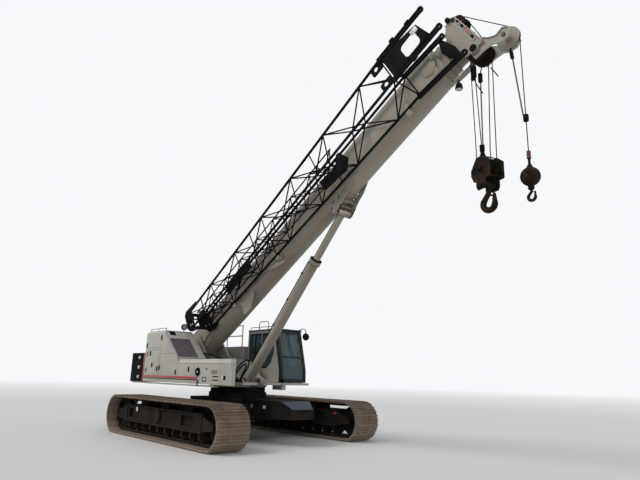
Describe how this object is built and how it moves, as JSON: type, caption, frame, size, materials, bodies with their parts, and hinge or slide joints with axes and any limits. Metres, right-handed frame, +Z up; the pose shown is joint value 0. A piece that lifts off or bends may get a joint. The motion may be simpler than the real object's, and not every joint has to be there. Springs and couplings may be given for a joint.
{
  "type": "telescopic boom crawler crane",
  "caption": "Telescopic boom crane on crawler tracks, boom half raised on its lift cylinder, lattice fly stowed along its side, hook block and ball hook hanging from the head.",
  "frame": {"origin": "on the ground under the centre of the slewing ring, midway between the tracks", "axes": "+X forward along the tracks and the boom, +Y to the left, +Z up"},
  "size_m": [12.2253, 4.76, 8.7498],
  "materials": {
    "putty_paint": "satin",
    "black_paint": "satin",
    "dusty_iron": "matte",
    "worn_iron": "matte",
    "machined_steel": "satin",
    "rod_chrome": "polished",
    "wire_rope": "matte",
    "tinted_glass": "clear",
    "black_plastic": "matte",
    "dark_grille": "matte",
    "engine_iron": "matte",
    "rail_paint": "satin"
  },
  "bodies": {
    "undercarriage": {"carbody": "black_paint", "slew_ring": "machined_steel", "frame_right": "black_paint", "frame_left": "black_paint", "track_right": "dusty_iron", "track_left": "dusty_iron", "drive_right": "dusty_iron", "drive_left": "dusty_iron", "idler_right": "dusty_iron", "idler_left": "dusty_iron", "rollers_right": "dusty_iron", "rollers_left": "dusty_iron"},
    "upper": {"bed": "putty_paint", "decks": "putty_paint", "counterweight": "black_paint", "house": "putty_paint", "grille": "dark_grille", "engine": "engine_iron", "low_box": "putty_paint", "left_hood": "putty_paint", "cab": "putty_paint", "cab_glass": "tinted_glass", "seat": "black_plastic", "console": "black_plastic", "winch_frame": "black_paint", "rails": "rail_paint", "mirrors": "black_plastic"},
    "house_door": {"house_door": "putty_paint"},
    "cab_door": {"cab_door": "putty_paint", "door_glass": "tinted_glass"},
    "main_drum": {"main_drum": "machined_steel"},
    "aux_drum": {"aux_drum": "machined_steel"},
    "boom_foot": {"foot_pin": "machined_steel"},
    "boom_base": {"boom_outer": "putty_paint", "fly_brackets": "putty_paint", "fly_frame": "black_paint", "fly_tip": "black_paint"},
    "boom_mid_1": {"boom_inner_1": "putty_paint"},
    "boom_mid_2": {"boom_inner_2": "putty_paint"},
    "boom_tip": {"boom_inner_3": "putty_paint", "boom_head": "putty_paint"},
    "head_sheave_set": {"head_sheaves": "machined_steel"},
    "nose_sheave": {"nose_sheave": "putty_paint"},
    "top_sheave_set": {"top_sheave": "machined_steel"},
    "head_pin": {"head_pin": "machined_steel"},
    "hook_line": {"block_ropes": "wire_rope", "hook_block": "worn_iron"},
    "main_hook": {"main_hook": "worn_iron"},
    "nose_pin": {"nose_pin": "machined_steel"},
    "ball_line": {"ball_rope": "wire_rope", "ball": "worn_iron"},
    "ball_hook": {"ball_hook": "worn_iron"},
    "lift_foot": {"lift_pin": "machined_steel"},
    "lift_barrel": {"lift_barrel": "putty_paint"},
    "lift_piston": {"lift_piston": "machined_steel"},
    "lift_rod": {"lift_rod": "rod_chrome"}
  },
  "joints": [
    {"name": "slew", "type": "hinge", "parent": "undercarriage", "child": "upper", "pos_m": [0, 0, 1.25], "axis": [0, 0, 1], "continuous": true},
    {"name": "house_door_hinge", "type": "hinge", "parent": "upper", "child": "house_door", "pos_m": [-2.484, -1.516, 1.8], "axis": [0, 0, -1], "range_deg": [0, 115]},
    {"name": "cab_door_slide", "type": "slide", "parent": "upper", "child": "cab_door", "axis": [-1, 0, 0], "range_m": [0, 0.46]},
    {"name": "main_drum_spin", "type": "hinge", "parent": "upper", "child": "main_drum", "pos_m": [-3.08, 0, 1.7], "axis": [0, 1, 0], "continuous": true},
    {"name": "aux_drum_spin", "type": "hinge", "parent": "upper", "child": "aux_drum", "pos_m": [-2.56, 0, 1.72], "axis": [0, 1, 0], "continuous": true},
    {"name": "boom_lower", "type": "hinge", "parent": "upper", "child": "boom_foot", "pos_m": [-1.765, 0, 2.403], "axis": [0, -1, 0], "range_deg": [-34.85, 0]},
    {"name": "boom_raise", "type": "hinge", "parent": "boom_foot", "child": "boom_base", "pos_m": [-1.765, 0, 2.403], "axis": [0, -1, 0], "range_deg": [0, 46.15]},
    {"name": "telescope_1", "type": "slide", "parent": "boom_base", "child": "boom_mid_1", "axis": [0.8494, 0, 0.5277], "range_m": [0, 8.13]},
    {"name": "telescope_2", "type": "slide", "parent": "boom_mid_1", "child": "boom_mid_2", "axis": [0.8494, 0, 0.5277], "range_m": [0, 8.13]},
    {"name": "telescope_3", "type": "slide", "parent": "boom_mid_2", "child": "boom_tip", "axis": [0.8494, 0, 0.5277], "range_m": [0, 8.13]},
    {"name": "head_sheave_spin", "type": "hinge", "parent": "boom_tip", "child": "head_sheave_set", "pos_m": [7.65483, 0, 7.72516], "axis": [0, 1, 0], "continuous": true},
    {"name": "nose_sheave_spin", "type": "hinge", "parent": "boom_tip", "child": "nose_sheave", "pos_m": [8.24429, 0, 7.76172], "axis": [0, 1, 0], "continuous": true},
    {"name": "top_sheave_spin", "type": "hinge", "parent": "boom_tip", "child": "top_sheave_set", "pos_m": [7.21825, 0, 8.56057], "axis": [0, 1, 0], "continuous": true},
    {"name": "hook_hang_1", "type": "hinge", "parent": "boom_tip", "child": "head_pin", "pos_m": [7.65483, 0, 7.72516], "axis": [0, -1, 0], "range_deg": [0, 34.86]},
    {"name": "hook_hang_2", "type": "hinge", "parent": "head_pin", "child": "hook_line", "pos_m": [7.65483, 0, 7.72516], "axis": [0, -1, 0], "range_deg": [-46.16, 0]},
    {"name": "ball_hang_1", "type": "hinge", "parent": "boom_tip", "child": "nose_pin", "pos_m": [8.24429, 0, 7.76172], "axis": [0, -1, 0], "range_deg": [0, 34.86]},
    {"name": "ball_hang_2", "type": "hinge", "parent": "nose_pin", "child": "ball_line", "pos_m": [8.24429, 0, 7.76172], "axis": [0, -1, 0], "range_deg": [-46.16, 0]},
    {"name": "main_hook_swivel", "type": "hinge", "parent": "hook_line", "child": "main_hook", "pos_m": [7.65483, 0, 4.86516], "axis": [0, 0, 1], "continuous": true},
    {"name": "ball_hook_swivel", "type": "hinge", "parent": "ball_line", "child": "ball_hook", "pos_m": [8.45729, 0, 4.66672], "axis": [0, 0, 1], "continuous": true},
    {"name": "lift_swing_1", "type": "hinge", "parent": "upper", "child": "lift_foot", "pos_m": [0.46, 0, 1.42], "axis": [0, -1, 0], "range_deg": [-46.78, 0]},
    {"name": "lift_swing_2", "type": "hinge", "parent": "lift_foot", "child": "lift_barrel", "pos_m": [0.46, 0, 1.42], "axis": [0, -1, 0], "range_deg": [0, 44.72]},
    {"name": "lift_stroke_1", "type": "slide", "parent": "lift_barrel", "child": "lift_piston", "axis": [0.6634, 0, 0.7482], "range_m": [-1.1041, 0]},
    {"name": "lift_stroke_2", "type": "slide", "parent": "lift_piston", "child": "lift_rod", "axis": [0.6634, 0, 0.7482], "range_m": [0, 1.9012]}
  ],
  "couplings": [
    {"joint": "telescope_2", "follows": "telescope_1", "ratio": 1},
    {"joint": "telescope_3", "follows": "telescope_1", "ratio": 1},
    {"joint": "hook_hang_1", "follows": "boom_lower", "ratio": -1},
    {"joint": "hook_hang_2", "follows": "boom_raise", "ratio": -1},
    {"joint": "ball_hang_1", "follows": "boom_lower", "ratio": -1},
    {"joint": "ball_hang_2", "follows": "boom_raise", "ratio": -1},
    {"joint": "lift_swing_1", "follows": "boom_lower", "ratio": 1.3421},
    {"joint": "lift_swing_2", "follows": "boom_raise", "ratio": 0.96876},
    {"joint": "lift_stroke_1", "follows": "boom_lower", "m_per_rad": 1.8143},
    {"joint": "lift_stroke_2", "follows": "boom_raise", "m_per_rad": 2.3597}
  ]
}
